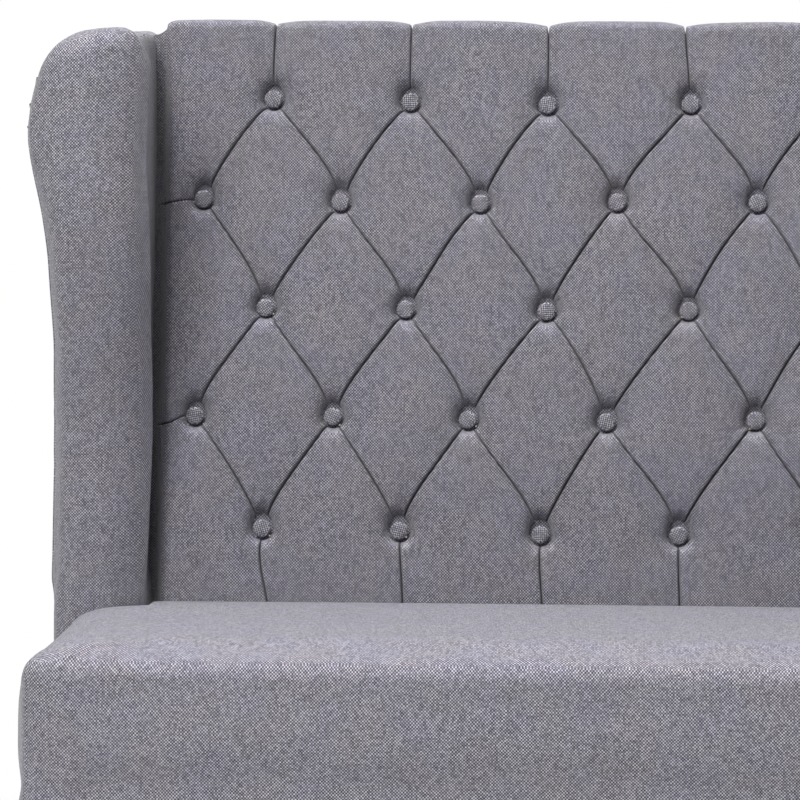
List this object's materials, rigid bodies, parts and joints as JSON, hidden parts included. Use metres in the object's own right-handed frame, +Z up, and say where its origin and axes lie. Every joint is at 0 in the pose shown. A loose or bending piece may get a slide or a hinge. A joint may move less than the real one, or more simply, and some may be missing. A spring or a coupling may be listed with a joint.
{
  "type": "high back settee",
  "caption": "Upholstered high back settee with a diamond buttoned back, padded wings, a thick flat seat and raised legs.",
  "frame": {"origin": "middle of the whole settee's outline, on the floor", "axes": "+Z up, the front of the seat faces -Y, +X runs along the seat to the right as seen from the front"},
  "size_m": [1.2, 0.6886, 1.1163],
  "materials": {
    "upholstery_fabric": "matte heathered grey linen-look weave",
    "foam": "open-cell upholstery foam",
    "insulator_felt": "pressed felt",
    "webbing": "woven elastic webbing",
    "twine": "waxed upholstery twine",
    "dust_cover_cloth": "black spunbonded cloth",
    "frame_wood": "raw sawn hardwood",
    "plywood": "raw plywood",
    "dark_leg_wood": "dark stained and satin lacquered",
    "fastener_steel": "zinc plated",
    "glide_plastic": "moulded nylon"
  },
  "bodies": {
    "root": {"back_foam": "foam", "back_leg_left": "dark_leg_wood", "back_leg_right": "dark_leg_wood", "back_post_left": "frame_wood", "back_post_right": "frame_wood", "back_rail": "frame_wood", "back_stile_left": "frame_wood", "back_stile_right": "frame_wood", "button_twines": "twine", "centre_spreader": "frame_wood", "corner_blocks": "frame_wood", "cross_webbing": "webbing", "dust_cover": "dust_cover_cloth", "frame_bolts": "fastener_steel", "front_leg_left": "dark_leg_wood", "front_leg_right": "dark_leg_wood", "front_rail": "frame_wood", "leg_bolts": "fastener_steel", "leg_glides": "glide_plastic", "long_webbing": "webbing", "lower_back_rail": "frame_wood", "outside_back_board": "plywood", "outside_back_cover": "upholstery_fabric", "seat_cover": "upholstery_fabric", "seat_foam": "foam", "seat_insulator": "insulator_felt", "side_rail_left": "frame_wood", "side_rail_right": "frame_wood", "top_rail": "frame_wood", "tufted_cover": "upholstery_fabric", "tufting_board": "plywood", "tufting_buttons": "upholstery_fabric", "twine_toggles": "frame_wood", "wing_batten_left": "frame_wood", "wing_batten_right": "frame_wood", "wing_cover_left": "upholstery_fabric", "wing_cover_right": "upholstery_fabric", "wing_foam_left": "foam", "wing_foam_right": "foam", "wing_panel_left": "plywood", "wing_panel_right": "plywood"}
  },
  "joints": []
}
